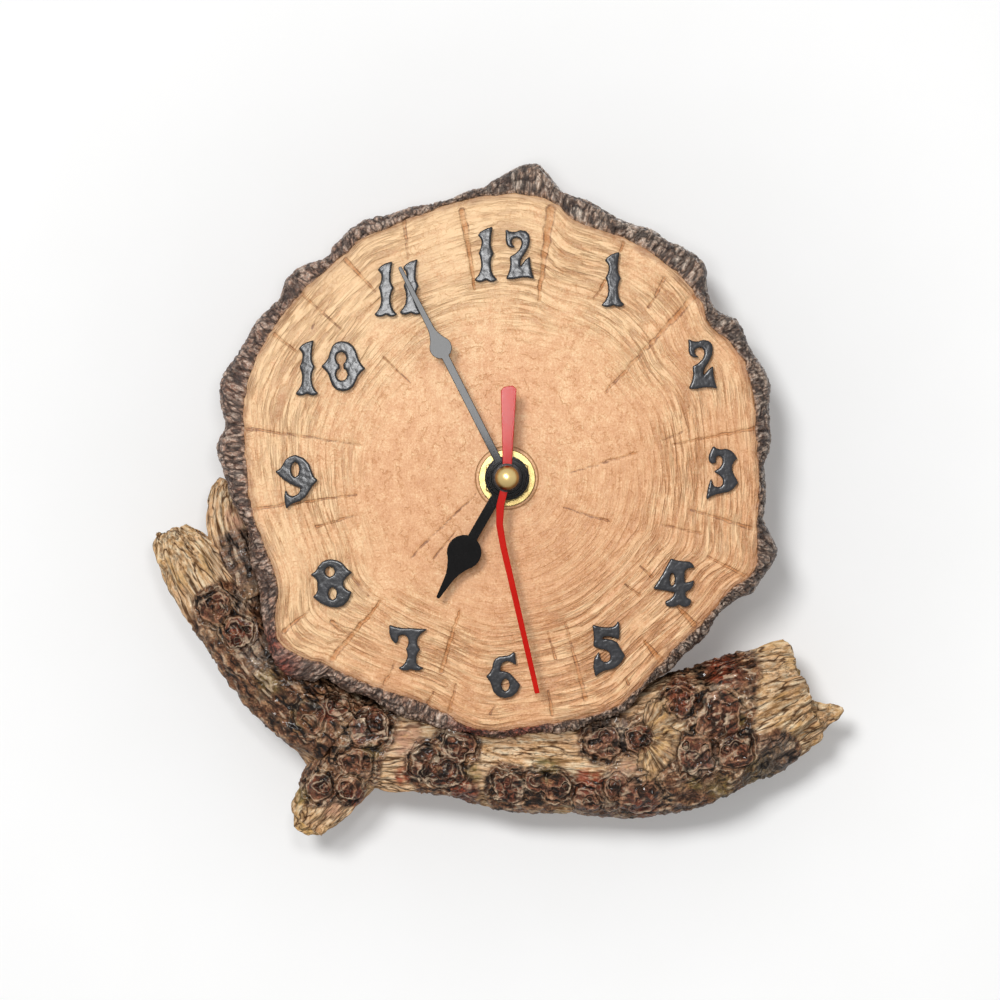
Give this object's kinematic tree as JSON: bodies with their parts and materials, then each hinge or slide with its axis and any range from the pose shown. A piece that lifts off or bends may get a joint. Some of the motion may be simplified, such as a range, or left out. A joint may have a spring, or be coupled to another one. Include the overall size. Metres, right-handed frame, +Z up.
{
  "type": "log slice clock",
  "caption": "Wall clock on a sawn log slice with its bark, cradled by a knotted bough, with raised numerals, spade hands and a quartz movement hung by a keyhole plate.",
  "frame": {"origin": "on the wall, at the height of the nail that the hanger's keyhole slot rests on, midway across", "axes": "+Z up, +Y into the wall, so the dial faces -Y, +X to the right as the dial is read"},
  "size_m": [0.1813, 0.0442, 0.1762],
  "materials": {
    "wood": "sawn face, satin",
    "bark": "rough bark, varnished",
    "branch": "knotted bark, varnished",
    "numeral": "black, satin",
    "hand": "black paint, satin",
    "red_hand": "red paint, satin",
    "brass": "polished",
    "steel": "bright zinc plate",
    "rubber": "matt",
    "black_plastic": "fine grain",
    "pale_plastic": "moulded",
    "board": "printed board",
    "copper": "enamelled copper wire",
    "magnet": "sintered magnet",
    "cell": "plain printed sleeve"
  },
  "bodies": {
    "case": {"wood_slice": "wood", "bark_rim": "bark", "bough": "branch", "left_limb": "branch", "side_twig": "branch", "foot_stub": "branch", "numeral_1": "numeral", "numeral_2": "numeral", "numeral_3": "numeral", "numeral_4": "numeral", "numeral_5": "numeral", "numeral_6": "numeral", "numeral_7": "numeral", "numeral_8": "numeral", "numeral_9": "numeral", "numeral_10_tens": "numeral", "numeral_10_units": "numeral", "numeral_11_tens": "numeral", "numeral_11_units": "numeral", "numeral_12_tens": "numeral", "numeral_12_units": "numeral", "dial_washer": "brass", "dial_nut": "brass", "bushing": "brass", "hanger": "steel", "stator": "steel", "coil_core": "steel", "quartz_crystal": "steel", "positive_contact": "steel", "negative_contact": "steel", "gasket": "rubber", "front_case": "black_plastic", "rear_cover": "black_plastic", "clock_chip": "black_plastic", "coil_bobbin": "pale_plastic", "circuit_board": "board", "coil_winding": "copper"},
    "hour": {"hour_hand": "hand", "hour_wheel": "pale_plastic"},
    "minute": {"minute_hand": "hand", "centre_wheel": "pale_plastic"},
    "second": {"second_hand": "red_hand", "ball_cap": "brass", "second_wheel": "pale_plastic"},
    "third": {"third_wheel": "pale_plastic"},
    "intermediate": {"intermediate_wheel": "pale_plastic"},
    "rotor": {"rotor": "magnet"},
    "motion": {"motion_wheel": "pale_plastic"},
    "knob": {"setting_knob": "black_plastic"},
    "cell": {"cell": "cell"}
  },
  "joints": [
    {"name": "minute_spin", "type": "hinge", "parent": "case", "child": "minute", "pos_m": [0, -0.02, -0.04385], "axis": [0, 1, 0], "continuous": true},
    {"name": "hour_spin", "type": "hinge", "parent": "case", "child": "hour", "pos_m": [0, -0.02, -0.04385], "axis": [0, 1, 0], "continuous": true},
    {"name": "second_spin", "type": "hinge", "parent": "case", "child": "second", "pos_m": [0, -0.02, -0.04385], "axis": [0, 1, 0], "continuous": true},
    {"name": "third_spin", "type": "hinge", "parent": "case", "child": "third", "pos_m": [-0.00795, -0.02, -0.03926], "axis": [0, 1, 0], "continuous": true},
    {"name": "intermediate_spin", "type": "hinge", "parent": "case", "child": "intermediate", "pos_m": [0, -0.02, -0.03665], "axis": [0, 1, 0], "continuous": true},
    {"name": "rotor_spin", "type": "hinge", "parent": "case", "child": "rotor", "pos_m": [0.00475, -0.02, -0.0319], "axis": [0, 1, 0], "continuous": true},
    {"name": "motion_spin", "type": "hinge", "parent": "case", "child": "motion", "pos_m": [0.00831, -0.02, -0.03905], "axis": [0, 1, 0], "continuous": true},
    {"name": "knob_spin", "type": "hinge", "parent": "case", "child": "knob", "pos_m": [0.01767, -0.02, -0.04445], "axis": [0, 1, 0], "continuous": true},
    {"name": "cell_slide", "type": "slide", "parent": "case", "child": "cell", "axis": [0, 1, 0], "range_m": [0, 0.018]}
  ],
  "couplings": [
    {"joint": "hour_spin", "follows": "minute_spin", "ratio": 0.083333},
    {"joint": "second_spin", "follows": "minute_spin", "ratio": 60},
    {"joint": "third_spin", "follows": "minute_spin", "ratio": -8},
    {"joint": "intermediate_spin", "follows": "minute_spin", "ratio": -300},
    {"joint": "rotor_spin", "follows": "minute_spin", "ratio": 1800},
    {"joint": "motion_spin", "follows": "minute_spin", "ratio": -0.33333},
    {"joint": "knob_spin", "follows": "minute_spin", "ratio": 0.66667}
  ]
}
